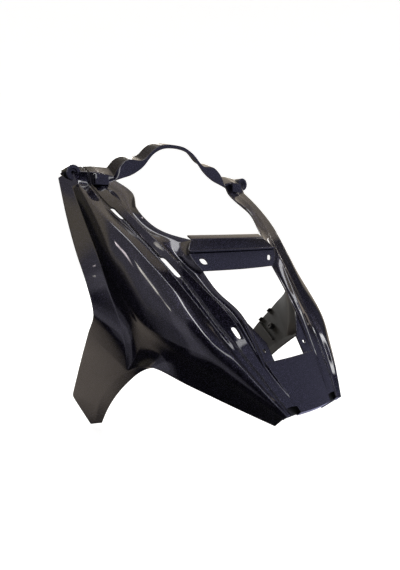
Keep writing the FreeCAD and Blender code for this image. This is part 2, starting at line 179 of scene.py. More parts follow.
# Places inside the wings, in stations from the lower corner: ribs, tabs on the rear edge, and the boss.
RIB_PLACES = (0.75, 1.2)
TAB_PLACES = (1.3, 1.72)
WING_BOSS_PLACE = 1.5
# Share of the wing's width that a rib crosses.
RIB_SHARE = 0.8


class FairingSizes(bpy.types.PropertyGroup):
    """Sizes of the fairing, in metres."""

    width: bpy.props.FloatProperty(
        name="Width", description="Over the rear edges of the side panels", default=0.486, unit="LENGTH")
    depth: bpy.props.FloatProperty(
        name="Depth", description="From the nose back to the rear corner of the wings", default=0.441,
        unit="LENGTH")
    height: bpy.props.FloatProperty(
        name="Height", description="From the wing tips to the top of the strip", default=0.563, unit="LENGTH")
    wall: bpy.props.FloatProperty(
        name="Wall", description="Thickness of the moulding", default=0.003, unit="LENGTH")
    crown: bpy.props.FloatProperty(
        name="Crown", description="Swell of the side panel below the shoulder line", default=0.014,
        unit="LENGTH")
    scoop: bpy.props.FloatProperty(
        name="Scoop", description="Hollow of the side panel above its lower edge", default=0.009,
        unit="LENGTH")
    well: bpy.props.FloatProperty(
        name="Well", description="Hollow between the frame line and the openings", default=0.007,
        unit="LENGTH")
    lip: bpy.props.FloatProperty(
        name="Nose lip", description="Turned-under lip along the nose edge", default=0.009, unit="LENGTH")
    deck: bpy.props.FloatProperty(
        name="Deck", description="Flange back from the top edge and the strip", default=0.030, unit="LENGTH")
    ledge: bpy.props.FloatProperty(
        name="Ledge", description="Flange back from the crossbar's upper edge", default=0.013, unit="LENGTH")
    ledge_rise: bpy.props.FloatProperty(
        name="Ledge rise", description="How far that flange rises to the rear", default=0.005, unit="LENGTH")
    bead: bpy.props.FloatProperty(
        name="Bead", description="Bead along the crossbar face", default=0.0035, unit="LENGTH")
    slot_width: bpy.props.FloatProperty(
        name="Slot width", description="Width of the clip slots", default=0.009, unit="LENGTH")
    slot_lengths: bpy.props.FloatVectorProperty(
        name="Slot lengths", description="Clip slots from the nose up", default=(0.024, 0.048, 0.036),
        size=3, unit="LENGTH")
    groove_width: bpy.props.FloatProperty(
        name="Groove width", description="Groove that joins the clip slots", default=0.004, unit="LENGTH")
    groove_depth: bpy.props.FloatProperty(
        name="Groove depth", description="Groove that joins the clip slots", default=0.003, unit="LENGTH")
    bar_hole: bpy.props.FloatProperty(
        name="Bar hole", description="Side of the square crossbar holes", default=0.012, unit="LENGTH")
    bar_hole_share: bpy.props.FloatProperty(
        name="Bar hole place", description="How far out along the crossbar the holes are", default=0.817,
        subtype="FACTOR")
    notch_depth: bpy.props.FloatProperty(
        name="Notch depth", description="Depth of the notches in the nose edge", default=0.011, unit="LENGTH")
    notch_width: bpy.props.FloatProperty(
        name="Notch width", description="Width of the notches in the nose edge", default=0.021, unit="LENGTH")
    pocket_depth: bpy.props.FloatProperty(
        name="Pocket depth", description="From the nose panel back to the plate behind each notch",
        default=0.0085, unit="LENGTH")
    pocket_height: bpy.props.FloatProperty(
        name="Pocket height", description="Plate behind each notch, up the panel", default=0.021,
        unit="LENGTH")
    boss_drop: bpy.props.FloatProperty(
        name="Boss drop", description="Screw boss below the top edge", default=0.004, unit="LENGTH")
    boss_radius: bpy.props.FloatProperty(
        name="Boss radius", description="Outside of the screw boss", default=0.015, unit="LENGTH")
    boss_length: bpy.props.FloatProperty(
        name="Boss length", description="Length of the screw boss", default=0.026, unit="LENGTH")
    boss_proud: bpy.props.FloatProperty(
        name="Boss proud", description="How far the boss stands before its place", default=0.006,
        unit="LENGTH")
    screw_radius: bpy.props.FloatProperty(
        name="Screw radius", description="Screw holes in bosses and gussets", default=0.00325, unit="LENGTH")
    head_radius: bpy.props.FloatProperty(
        name="Head radius", description="Recess for the screw's head", default=0.0075, unit="LENGTH")
    head_depth: bpy.props.FloatProperty(
        name="Head depth", description="Recess for the screw's head", default=0.003, unit="LENGTH")
    clip_size: bpy.props.FloatVectorProperty(
        name="Clip block", description="Width, depth and height of the clip blocks",
        default=(0.028, 0.016, 0.020), size=3, unit="LENGTH")
    clip_slot: bpy.props.FloatProperty(
        name="Clip slot", description="Slot in the clip blocks", default=0.006, unit="LENGTH")
    gusset_height: bpy.props.FloatProperty(
        name="Gusset height", description="Corner gussets up the opening's side", default=0.078,
        unit="LENGTH")
    gusset_width: bpy.props.FloatProperty(
        name="Gusset width", description="Corner gussets along the opening's foot", default=0.022,
        unit="LENGTH")
    wing_boss_radius: bpy.props.FloatProperty(
        name="Wing boss radius", description="Bosses inside the wings", default=0.0072, unit="LENGTH")
    wing_screw_radius: bpy.props.FloatProperty(
        name="Wing screw radius", description="Holes in the bosses inside the wings", default=0.0023,
        unit="LENGTH")
    rib_thick: bpy.props.FloatProperty(
        name="Rib thickness", description="Ribs and tabs inside the wings", default=0.0025, unit="LENGTH")
    rib_height: bpy.props.FloatProperty(
        name="Rib height", description="Ribs inside the wings", default=0.009, unit="LENGTH")
    tab_length: bpy.props.FloatProperty(
        name="Tab length", description="Tabs along the wings' rear edge", default=0.012, unit="LENGTH")


class FairingColours(bpy.types.PropertyGroup):
    """Colours of the fairing and its stage, as sRGB hex."""

    paint: bpy.props.StringProperty(
        name="Paint", description="Dark violet base coat", default="#100f19")
    flake: bpy.props.StringProperty(
        name="Flake", description="Metal flakes in the base coat", default="#5a566e")
    plastic: bpy.props.StringProperty(
        name="Bare plastic", description="Unpainted ABS inside", default="#1f1f1e")
    floor: bpy.props.StringProperty(
        name="Floor", description="Studio floor and dome", default="#bdbcba")


def linear(code):
    """Linear colour of an sRGB hex value."""
    parts = [int(code[k:k + 2], 16) / 255 for k in (1, 3, 5)]
    return [c / 12.92 if c <= 0.04045 else ((c + 0.055) / 1.055) ** 2.4 for c in parts] + [1.0]


def add_node(tree, kind, settings=None, inputs=None, links=None):
    """Adds a node, sets its properties and sockets, and links sockets from other nodes' outputs."""
    node = tree.nodes.new(kind)
    for name, value in (settings or {}).items():
        setattr(node, name, value)
    for name, value in (inputs or {}).items():
        node.inputs[name].default_value = value
    for name, source in (links or {}).items():
        tree.links.new(source, node.inputs[name])
    return node


def new_material(name):
    """An empty node material with an output, and its tree."""
    material = bpy.data.materials.new(name)
    material.use_nodes = True
    tree = material.node_tree
    tree.nodes.clear()
    output = tree.nodes.new("ShaderNodeOutputMaterial")
    return material, tree, output


def painted_abs(colours):
    """Moulded ABS sprayed metallic under clear coat: near-black violet, finely sparkling, mirror-glossy."""
    name = "ABS, sprayed metallic violet with clear coat"
    if name in bpy.data.materials:
        return bpy.data.materials[name]
    material, tree, output = new_material(name)
    place = add_node(tree, "ShaderNodeTexCoord").outputs["Object"]
    # Flakes are about 0.05 mm; they are drawn 0.6 mm wide so that their sparkle shows in the render.
    flakes = add_node(tree, "ShaderNodeTexVoronoi", inputs={"Scale": 1 / (0.6 * MM)},
                      links={"Vector": place})
    level = add_node(tree, "ShaderNodeSeparateColor", links={"Color": flakes.outputs["Color"]})
    ramp = add_node(tree, "ShaderNodeMapRange",
                    inputs={"From Min": 0.72, "From Max": 1.0, "To Min": 0.0, "To Max": 0.55},
                    links={"Value": level.outputs["Red"]})
    colour = add_node(tree, "ShaderNodeMix", {"data_type": "RGBA"},
                      {"A": linear(colours.paint), "B": linear(colours.flake)},
                      {"Factor": ramp.outputs["Result"]})
    # The clear coat levels out with a faint orange peel, a few millimetres from wave to wave.
    peel = add_node(tree, "ShaderNodeTexNoise", inputs={"Scale": 1 / (9 * MM), "Detail": 1.0},
                    links={"Vector": place})
    coat = add_node(tree, "ShaderNodeBump", inputs={"Strength": 0.012, "Distance": 1.0 * MM},
                    links={"Height": peel.outputs["Fac"]})
    shader = add_node(tree, "ShaderNodeBsdfPrincipled",
                      inputs={"Metallic": 0.55, "Roughness": 0.38, "Specular IOR Level": 0.0,
                              "Coat Weight": 1.0, "Coat Roughness": 0.035, "Coat IOR": 1.5},
                      links={"Base Color": colour.outputs["Result"], "Coat Normal": coat.outputs["Normal"]})
    tree.links.new(shader.outputs["BSDF"], output.inputs["Surface"])
    return material


def bare_abs(colours):
    """Unpainted moulded ABS: a matte dark grey with the mould's fine grain."""
    name = "ABS, bare moulded grain"
    if name in bpy.data.materials:
        return bpy.data.materials[name]
    material, tree, output = new_material(name)
    place = add_node(tree, "ShaderNodeTexCoord").outputs["Object"]
    # The tone drifts a little over about 40 mm, as it does on a large moulding.
    cloud = add_node(tree, "ShaderNodeTexNoise", inputs={"Scale": 1 / (40 * MM), "Detail": 3.0},
                     links={"Vector": place})
    tone = add_node(tree, "ShaderNodeMix", {"data_type": "RGBA"},
                    {"A": [0.8 * c for c in linear(colours.plastic)[:3]] + [1.0],
                     "B": [1.25 * c for c in linear(colours.plastic)[:3]] + [1.0]},
                    {"Factor": cloud.outputs["Fac"]})
    # Mould grain is about 0.2 mm; it is drawn at 0.8 mm so that it shows.
    grain = add_node(tree, "ShaderNodeTexNoise", inputs={"Scale": 1 / (0.8 * MM), "Detail": 2.0},
                     links={"Vector": place})
    bump = add_node(tree, "ShaderNodeBump", inputs={"Strength": 0.25, "Distance": 0.15 * MM},
                    links={"Height": grain.outputs["Fac"]})
    shader = add_node(tree, "ShaderNodeBsdfPrincipled", inputs={"Roughness": 0.55, "IOR": 1.53},
                      links={"Base Color": tone.outputs["Result"], "Normal": bump.outputs["Normal"]})
    tree.links.new(shader.outputs["BSDF"], output.inputs["Surface"])
    return material


# The studio's middle on the floor, how far the floor lies below the part, and its glow to the eye.
STUDIO_MIDDLE = (0.0, -0.2)
FLOOR_GAP = 1 * MM
FLOOR_GLOW = 0.9
# Tones of the unlit studio, in the gloss and outside the dome.
DIM_TONE = "#272729"
DUSK_TONE = "#3f3f42"
# Toned cards of the studio that the gloss shows: tint, level, and where each begins and is full, along an
# axis from the part's foot, as a way (of length 1) or as a place in metres.
CARDS = (
    # Warm ceiling behind the part, brighter on the left.
    ("#f8ecc8", 0.22, (("way", (0, 1, 0), -0.02, 0.14), ("way", (0, 0, 1), 0.2, 0.42))),
    ("#fff0d8", 0.9, (("way", (0, 1, 0), -0.02, 0.14), ("way", (0, -0.8, 0.6), 0.08, 0.22),
                      ("way", (-1, 0, 0), -0.22, 0.08))),
    # Brown floor to the left and behind.
    ("#ffeedd", 0.55, (("place", (0, 1, 0), 0.05, 0.2), ("place", (-0.8, 0.6, 0), 0.85, 0.55))),
    # Bluish wall ahead on the right.
    ("#d6d6ff", 0.68, (("way", (0.55, -0.8, 0.25), 0.6, 0.95),)),
    # Pale ceiling to the left, ahead.
    ("#f2eeff", 0.6, (("way", (-0.35, -0.25, 0.9), 0.55, 0.88), ("way", (0, -1, 0), -0.14, 0.02),
                      ("way", (0, 1, 0), -0.42, -0.36))),
    # Pale wall and floor on the left.
    ("#f0ecff", 0.4, (("way", (-1, 0, 0), 0.75, 0.93), ("way", (0, -1, 0), -0.2, 0.0),
                      ("place", (-1, 0, 0), 0.74, 0.86))),
    ("#f0ecff", 0.5, (("way", (0, -1, 0), 0.14, 0.24), ("way", (-1, 0, 0), 0.5, 0.75),
                      ("place", (-1, 0, 0), 0.42, 0.62))),
    # Line of tubes from overhead down to the front: the thin bright line along the shoulder.
    ("#ffffff", 5.0, (("way", (1, 0, 0), 0.08, 0.12), ("way", (-1, 0, 0), -0.2, -0.16),
                      ("way", (0, -1, 0), 0.1, 0.2), ("way", (0, 0, 1), 0.2, 0.3))),
    ("#ffffff", 8.0, (("way", (1, 0, 0), 0.08, 0.12), ("way", (-1, 0, 0), -0.2, -0.16),
                      ("way", (0, -1, 0), 0.1, 0.2), ("way", (0, 1, 0), -0.58, -0.46))),
    # Round lamp straight above.
    ("#ffffff", 7.0, (("way", (-0.05, -0.05, 1), 0.975, 0.988), ("way", (0, -1, 0), -0.05, -0.01))),
)


def pale_floor(colours):
    """Matte pale studio floor and dome: white to the eye with a soft shadow, toned cards in reflections."""
    material, tree, output = new_material("Studio floor, matte white")
    path = add_node(tree, "ShaderNodeLightPath")
    bright = add_node(tree, "ShaderNodeMath", {"operation": "MULTIPLY"}, {1: FLOOR_GLOW},
                      {0: path.outputs["Is Camera Ray"]})
    matte = add_node(tree, "ShaderNodeBsdfPrincipled",
                     inputs={"Base Color": linear(colours.floor), "Roughness": 0.9, "Specular IOR Level": 0.1,
                             "Emission Color": [1.0, 1.0, 1.0, 1.0]},
                     links={"Emission Strength": bright.outputs["Value"]})
    place = add_node(tree, "ShaderNodeTexCoord").outputs["Object"]
    place = add_node(tree, "ShaderNodeVectorMath", {"operation": "SUBTRACT"},
                     {1: (*STUDIO_MIDDLE, CAD_BOX[0].z)}, {0: place}).outputs["Vector"]
    way = add_node(tree, "ShaderNodeVectorMath", {"operation": "NORMALIZE"},
                   links={0: place}).outputs["Vector"]
    glow = None
    for tint, level, bounds in CARDS:
        whole = None
        for kind, axis, begin, full in bounds:
            near = add_node(tree, "ShaderNodeVectorMath", {"operation": "DOT_PRODUCT"},
                            {1: Vector(axis).normalized()}, {0: way if kind == "way" else place})
            share = add_node(tree, "ShaderNodeMapRange", {"interpolation_type": "SMOOTHSTEP"},
                             {"From Min": begin, "From Max": full}, {"Value": near.outputs["Value"]})
            if whole:
                share = add_node(tree, "ShaderNodeMath", {"operation": "MULTIPLY"},
                                 links={0: whole, 1: share.outputs["Result"]})
            whole = share.outputs[0]
        card = add_node(tree, "ShaderNodeMix", {"data_type": "RGBA", "blend_type": "ADD"},
                        {"A": linear(DIM_TONE), "B": [level * c for c in linear(tint)[:3]] + [1.0]},
                        {"Factor": whole})
        if glow:
            tree.links.new(glow, card.inputs["A"])
        glow = card.outputs["Result"]
    cards = add_node(tree, "ShaderNodeEmission", links={"Color": glow})
    mirrored_ray = add_node(tree, "ShaderNodeMath", {"operation": "MAXIMUM"},
                            links={0: path.outputs["Is Glossy Ray"], 1: path.outputs["Is Transmission Ray"]})
    both = add_node(tree, "ShaderNodeMixShader",
                    links={"Fac": mirrored_ray.outputs["Value"], 1: matte.outputs["BSDF"],
                           2: cards.outputs["Emission"]})
    tree.links.new(both.outputs["Shader"], output.inputs["Surface"])
    return material


def belly(upper, lower, share, height):
    """Middle line of a band, lifted off the flat by its share of the height."""
    line = {}
    for k, s in enumerate(ARM):
        before, after = ARM[max(k - 1, 0)], ARM[min(k + 1, len(ARM) - 1)]
        along = (upper[after] - upper[before]) + (lower[after] - lower[before])
        lift = np.cross(lower[s] - upper[s], along)
        line[s] = (upper[s] + lower[s]) / 2 + lift / np.linalg.norm(lift) * (2 * height * share[k])
    for s in {"lip", *DECK_RUN} & upper.keys() & lower.keys():
        line[s] = (upper[s] + lower[s]) / 2
    return line


def feature_lines(sizes):
    """The feature lines of the right half, in metres in the row frame, and the screw boss's place."""
    scale = np.array((sizes.width / 2000, sizes.depth / 1000, sizes.height / 1000))
    lines = {name: {s: np.array(p) * scale for s, p in line.items()} for name, line in SHARES.items()}
    for name, (crest, reach, rise) in CREST.items():
        lines[name]["crest"] = np.array(crest) * scale
        lines[name]["deck"] = lines[name]["crest"] + sizes.deck * np.array((0, reach, rise))
    boss = lines["shoulder"]["crest"] - (0, 0, sizes.boss_drop)
    for name in ("shoulder", "channel", "frame", "opening", "centre"):
        lines[name]["lip"] = lines[name]["nose"] + sizes.lip * np.array((0, 1, -1))
    lines["strip_rear"] = {
        s: lines["strip_edge"][s] + sizes.deck * np.array((0, 1, rise)) for s, rise in zip(STRIP, STRIP_RISE)}
    lines["crown"] = belly(lines["shoulder"], lines["ridge"], CROWN_SHARE, sizes.crown)
    lines["scoop"] = belly(lines["ridge"], lines["hem"], SCOOP_SHARE, -sizes.scoop)
    lines["well"] = belly(lines["opening"], lines["frame"], WELL_SHARE, -sizes.well)
    for line in lines.values():
        for s in line:
            line[s] = line[s] - (0, boss[1], boss[2])
    lines["brow"] = {
        s: np.array((lines["opening"][s][0] / 2, p[1], p[2])) for s, p in lines["centre"].items()}
    return lines, boss * (1, 0, 0)


def poles(name, places, run):
    """Poles of the smooth curve through a run of a line's stations: cubic pieces, end to end."""
    chain = [c for c in CHAINS[name] if set(run) <= set(c)][0]
    pts = np.array([places[s] for s in chain])
    gaps = np.linalg.norm(np.diff(pts, axis=0), axis=1)[:, None]
    slopes = np.diff(pts, axis=0) / gaps
    inside = (slopes[:-1] * gaps[1:] + slopes[1:] * gaps[:-1]) / (gaps[:-1] + gaps[1:])
    if len(inside):
        ways = np.vstack([1.5 * slopes[:1] - 0.5 * inside[:1], inside, 1.5 * slopes[-1:] - 0.5 * inside[-1:]])
    else:
        ways = np.vstack([slopes, slopes])
    if chain is STRIP:
        ways[0] = (1, 0, 0)
    found = [pts[0]]
    for k in range(len(gaps)):
        found += [pts[k] + ways[k] * gaps[k] / 3, pts[k + 1] - ways[k + 1] * gaps[k] / 3, pts[k + 1]]
    first = chain.index(run[0])
    return np.array(found[3 * first:3 * (first + len(run) - 1) + 1])


def on_cubic(four, t):
    """Points of a cubic piece at the shares t."""
    t = np.asarray(t, float)[:, None]
    a, b, c, d = four
    return a * (1 - t) ** 3 + b * 3 * t * (1 - t) ** 2 + c * 3 * t * t * (1 - t) + d * t ** 3


def spot(lines, name, run, u):
    """Point and direction on a line, u pieces into the run."""
    four = poles(name, lines[name], run)
    k = min(int(u), (len(four) - 1) // 3 - 1)
    a, b, c, d = four[3 * k:3 * k + 4]
    t = u - k
    way = (b - a) * (1 - t) ** 2 + (c - b) * (2 * t * (1 - t)) + (d - c) * t ** 2
    return on_cubic((a, b, c, d), [t])[0], way / np.linalg.norm(way)


def place_on(lines, names, run, u, v):
    """Place on a band: the point, and the ways along it, across it and out of it."""
    p, way_p = spot(lines, names[0], run, u)
    q, way_q = spot(lines, names[-1], run, u)
    along = way_p * (1 - v) + way_q * v
    along = along / np.linalg.norm(along)
    out = np.cross(q - p, along)
    out = out / np.linalg.norm(out)
    return p * (1 - v) + q * v, along, np.cross(along, out), out


def key(p):
    """A point rounded to a micrometre, so that points that meet have the same key."""
    return tuple(np.round(p, 6))


def inner_lines(lines, wall):
    """The lines of the inner skin: every station moved in by the wall along the normals that meet in it."""
    normals, middles = {}, {}
    for names, runs, _, side in BANDS:
        for run in runs:
            for pair in zip(run, run[1:]):
                for name in (names[0], names[-1]):
                    row = poles(name, lines[name], pair)
                    for s, along in zip(pair, (row[1] - row[0], row[3] - row[2])):
                        other = names[1] if name == names[0] else names[-2]
                        across = lines[other][s] - lines[name][s]
                        if name != names[0]:
                            across = -across
                        n = np.cross(across, along) * side
                        n = n / np.linalg.norm(n)
                        normals.setdefault(key(lines[name][s]), []).append(n)
                        if len(names) == 3:
                            middles.setdefault(key(lines[names[1]][s]), []).append(n)
    moved = {}
    for name, line in lines.items():
        moved[name] = {}
        for s, p in line.items():
            found = normals.get(key(p)) or middles.get(key(p))
            if found is None:
                continue
            n = np.array(found)
            if abs(p[0]) < NEAR:
                n = np.vstack([n, n * (-1, 1, 1)])
            # The small term keeps the step short along ways that no normal fixes.
            step = np.linalg.solve(n.T @ n + 0.02 * len(n) * np.eye(3), n.sum(0))
            moved[name][s] = p - wall * step
    return moved


def row_shares(lines, sizes):
    """Where the skin's rows lie between each two stations, closer beside creases, slots and holes."""
    cuts = {}
    frame_poles = poles("frame", lines["frame"], ARM)
    channel_poles = poles("channel", lines["channel"], ARM)
    middle = (frame_poles + channel_poles) / 2
    fine = np.linspace(0, 1, FINE + 1)
    u = np.concatenate([k + fine[:-1] for k in range(len(ARM) - 1)] + [[len(ARM) - 1]])
    pieces = [on_cubic(middle[3 * k:3 * k + 4], fine[:-1]) for k in range(len(ARM) - 1)]
    trace = np.vstack(pieces + [middle[-1:]])
    run_length = np.concatenate([[0], np.cumsum(np.linalg.norm(np.diff(trace, axis=0), axis=1))])
    holes = []

    def keep(at):
        """Marks a place along the arm, in metres, as a row."""
        where = float(np.interp(at, run_length, u))
        k = min(int(where), len(ARM) - 2)
        cuts.setdefault((ARM[k], ARM[k + 1]), []).append(where - k)
        return where

    for (centre, _), length in zip(SLOT_PLACES, sizes.slot_lengths):
        at = float(np.interp(centre, u, run_length))
        holes.append((keep(at - length / 2), keep(at + length / 2)))
        keep(at - length / 2 - CLOSE_ROW)
        keep(at + length / 2 + CLOSE_ROW)
    notch = keep(sizes.notch_depth)
    keep(sizes.notch_depth + CLOSE_ROW)
    keep(CLOSE_ROW)
    for station in ("sill", "bar_top"):
        keep(run_length[FINE * ARM.index(station)] - CLOSE_ROW)
    keep(run_length[FINE * ARM.index("bar_low")] + CLOSE_ROW)
    keep(run_length[-1] - CLOSE_ROW)
    bar = np.linalg.norm(lines["centre"]["bar_mid"] - lines["centre"]["bar_low"])
    half = sizes.bar_hole / 2 / bar
    edge = CLOSE_ROW / bar
    hole = (0.5 - half, 0.5 + half)
    cuts.setdefault(("bar_low", "bar_mid"), []).extend([hole[0] - edge, *hole, hole[1] + edge])
    shares = {}
    pairs = {p for _, runs, _, _ in BANDS for run in runs for p in zip(run, run[1:])}
    for pair in pairs:
        if pair == LIP:
            shares[pair] = np.array(LIP_ROWS)
        elif pair in (WALL_RUN, DECK_RUN):
            shares[pair] = np.array(FLANGE_ROWS)
        else:
            longest = max(np.linalg.norm(line[pair[1]] - line[pair[0]])
                          for line in lines.values() if pair[0] in line and pair[1] in line)
            plain = np.linspace(0, 1, max(FEWEST_STEPS, round(longest / ROW_STEP)) + 1)
            marked = sorted(cuts.get(pair, []))
            # A plain row gives way to a marked one that is closer than this.
            clear = 0.6 * (plain[1] - plain[0])
            free = [t for t in plain if t in (0, 1) or all(abs(t - m) > clear for m in marked)]
            shares[pair] = np.array(sorted(free + [m for m in marked if 0 < m < 1]))
    return shares, holes, notch, hole


def columns(names, count, width, u, sizes, slots):
    """Shares across a band at which its columns lie, for each row of the skin, and its cut columns.

    The limits on the shares keep the columns in order where the band is narrow.
    """
    first = np.minimum(TIGHT[names[0]] * MM / width, 0.2)
    last = np.minimum(TIGHT[names[-1]] * MM / width, 0.2)
    zero, one = np.zeros_like(width), np.ones_like(width)
    if names == CHANNEL_BAND:
        first, last = np.minimum(first, 0.05), np.minimum(last, 0.05)
        edge = np.minimum(CLOSE_ROW / width, 0.04)
        half = np.minimum(sizes.slot_width / 2 / width, 0.14)
        slot = np.maximum(SLOT_PLACES[0][1], first + edge + half + 0.01)
        run = np.interp(u, *np.transpose(GROOVE))
        thin = np.minimum(sizes.groove_width / 2 / width, 0.1)
        for (begin, end), (_, across) in list(zip(slots, SLOT_PLACES))[1:]:
            inside = (u > begin - NEAR) & (u < end + NEAR)
            run = np.where(inside, across, run)
            thin = np.where(inside, sizes.slot_width / 2 / width, thin)
        low, high = run - thin, np.minimum(run + thin, 1 - last - edge - 0.005)
        places = [zero, first, slot - half - edge, slot - half, slot + half, slot + half + edge,
                  (slot + half + low) / 2, low - edge, low, (low + high) / 2, high, high + edge,
                  1 - last, one]
        return np.stack(places, 1), ((3, 4), (8, 10))
    if names[0] == "centre":
        half = np.minimum(sizes.bar_hole / 2 / width, 0.07)
        edge = np.minimum(CLOSE_ROW / width, 0.02)
        low, high = sizes.bar_hole_share - half, sizes.bar_hole_share + half
        places = [(low - edge) * k / count for k in range(count)]
        places += [low - edge, low, high, high + edge, 1 - last, one]
        return np.stack(places, 1), ((count + 1, count + 2),)
    places = [zero] + [first + (1 - first - last) * k / count for k in range(count + 1)] + [one]
    return np.stack(places, 1), None


def across_band(rows, v):
    """Grid of points across a band: straight between two lines, bowed where a third lies between them."""
    v = v[:, :, None]
    if len(rows) == 2:
        return rows[0][:, None] * (1 - v) + rows[1][:, None] * v
    return (rows[0][:, None] * (1 - v) ** 2 + rows[1][:, None] * 2 * v * (1 - v)
            + rows[2][:, None] * v ** 2)


def press_groove(grid, rows, u, column, sizes, slots):
    """Sinks one column of the channel's grid to make the groove, apart from the slots that break it."""
    out = np.cross(rows[1] - rows[0], np.gradient(rows[0] + rows[1], axis=0))
    out = out / np.linalg.norm(out, axis=1)[:, None]
    clear = [not any(a - NEAR < x < b + NEAR for a, b in slots[1:]) for x in u]
    grid[:, column] -= out * sizes.groove_depth * np.array(clear)[:, None]


def is_open(names, pair, j, gap, mid_u, mid_t, slots, notch, hole):
    """Whether the skin leaves out a cell, for a clip slot, a nose notch or a hole in the crossbar."""
    in_gap = [low <= j < high for low, high in gap or ()]
    at_nose = pair == LIP or (pair == ARM[:2] and mid_u < notch)
    if names == CHANNEL_BAND:
        on_arm = pair[0] in ARM and pair[1] in ARM
        in_slot = [begin < mid_u < end for begin, end in slots]
        if on_arm and (in_gap[0] and in_slot[0] or in_gap[1] and any(in_slot[1:])):
            return True
        return at_nose and j < gap[1][0] - 1
    if names[0] == "opening":
        return at_nose
    if names[0] == "centre":
        return pair == ARM[4:6] and in_gap[0] and hole[0] < mid_t < hole[1]
    return False


def half_skin(sizes):
    """The right half of the skin: outer points, the inner points behind them, and the outer faces."""
    lines, _ = feature_lines(sizes)
    inner = inner_lines(lines, sizes.wall)
    shares, slots, notch, hole = row_shares(lines, sizes)
    index, outside, inside, quads = {}, [], [], []
    for names, runs, count, side in BANDS:
        for pair in [p for run in runs for p in zip(run, run[1:])]:
            t = shares[pair]
            if pair[0] in ARM and pair[1] in ARM:
                u = ARM.index(pair[0]) + t
            else:
                u = np.full(len(t), 0 if pair == LIP else len(ARM) - 1.0)
            rows = [on_cubic(poles(n, lines[n], pair), t) for n in names]
            rows_in = [on_cubic(poles(n, inner[n], pair), t) for n in names]
            if names[0].startswith("strip"):
                v = np.tile(shares[WALL_RUN if names[1] == "strip_edge" else DECK_RUN], (len(t), 1))
                gap = None
            else:
                width = np.linalg.norm(rows[-1] - rows[0], axis=1)
                v, gap = columns(names, count, width, u, sizes, slots)
            grid, grid_in = across_band(rows, v), across_band(rows_in, v)
            if names == CHANNEL_BAND:
                press_groove(grid, rows, u, gap[1][0] + 1, sizes, slots)
            ids = np.zeros(grid.shape[:2], int)
            for i, j in np.ndindex(ids.shape):
                k = key(grid[i, j])
                if k not in index:
                    index[k] = len(outside)
                    outside.append(grid[i, j])
                    inside.append(grid_in[i, j])
                ids[i, j] = index[k]
            for i, j in np.ndindex(ids.shape[0] - 1, ids.shape[1] - 1):
                mid_u, mid_t = (u[i] + u[i + 1]) / 2, (t[i] + t[i + 1]) / 2
                if is_open(names, pair, j, gap, mid_u, mid_t, slots, notch, hole):
                    continue
                quad = (ids[i, j], ids[i, j + 1], ids[i + 1, j + 1], ids[i + 1, j])
                quad = tuple(dict.fromkeys(quad))
                quads.append(quad if side > 0 else quad[::-1])
    return np.array(outside), np.array(inside), quads


def shell_mesh(sizes):
    """The moulded shell as one closed mesh: outer skin, inner skin and the rims between them."""
    outside, inside, quads = half_skin(sizes)
    n = len(outside)
    faces = [(q, 0) for q in quads] + [(tuple(i + n for i in q[::-1]), 1) for q in quads]
    used = {}
    for q in quads:
        for a, b in zip(q, q[1:] + q[:1]):
            used.setdefault((min(a, b), max(a, b)), []).append((a, b))
    rim, extra = {}, []

    def rim_ids(i):
        """The four points from the outer to the inner edge of the rim at a point of it."""
        if i not in rim:
            start = 2 * n + len(extra)
            extra.extend(outside[i] * (1 - r) + inside[i] * r for r in RIM_SHARES)
            rim[i] = (i, start, start + 1, i + n)
        return rim[i]

    for uses in used.values():
        a, b = uses[0]
        on_plane = abs(outside[a][0]) < NEAR and abs(outside[b][0]) < NEAR
        if len(uses) == 1 and not on_plane:
            pa, pb = rim_ids(a), rim_ids(b)
            faces += [((pb[k], pa[k], pa[k + 1], pb[k + 1]), 0) for k in range(3)]
    return mirrored(np.vstack([outside, inside, np.array(extra)]), faces)


def mirrored(verts, faces):
    """Both halves of a right half: its points with their mirror images, joined in the middle plane."""
    n = len(verts)
    middle = np.abs(verts[:, 0]) < NEAR
    twin = np.where(middle, np.arange(n), n + np.cumsum(~middle) - 1)
    both = np.vstack([verts, verts[~middle] * (-1, 1, 1)])
    return both, faces + [(tuple(twin[list(f)][::-1]), m) for f, m in faces]


def new_piece(name, verts, faces, materials, subdivide=0):
    """A smooth mesh object from points and (face, material) pairs."""
    mesh = bpy.data.meshes.new(name)
    mesh.from_pydata([tuple(map(float, v)) for v in verts], [], [tuple(map(int, f)) for f, _ in faces])
    for material in materials:
        mesh.materials.append(material)
    mesh.polygons.foreach_set("material_index", [m for _, m in faces])
    made = bmesh.new()
    made.from_mesh(mesh)
    bmesh.ops.delete(made, geom=[v for v in made.verts if not v.link_faces], context="VERTS")
    bmesh.ops.recalc_face_normals(made, faces=made.faces)
    made.to_mesh(mesh)
    made.free()
    mesh.shade_smooth()
    piece = bpy.data.objects.new(name, mesh)
    bpy.context.scene.collection.objects.link(piece)
    if subdivide:
        smooth = piece.modifiers.new("smooth", "SUBSURF")
        smooth.levels = smooth.render_levels = subdivide
    return piece


def on_frame(piece):
    """Makes a piece stand for the fairing's solid and ride with it."""
    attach(piece, BODY)
    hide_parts(NODE)
    return piece


def both_sides(verts, faces):
    """A piece of the right half and its mirror image, side by side."""
    n = len(verts)
    verts = np.asarray(verts)
    return (np.vstack([verts, verts * (-1, 1, 1)]),
            faces + [(tuple(i + n for i in f[::-1]), m) for f, m in faces])


def rounded(piece, width, segments=3):
    """Rounds a piece's sharp edges."""
    bevel = piece.modifiers.new("round", "BEVEL")
    bevel.width = width
    bevel.segments = segments
    bevel.limit_method = "ANGLE"
    bevel.angle_limit = math.radians(35)
    return piece


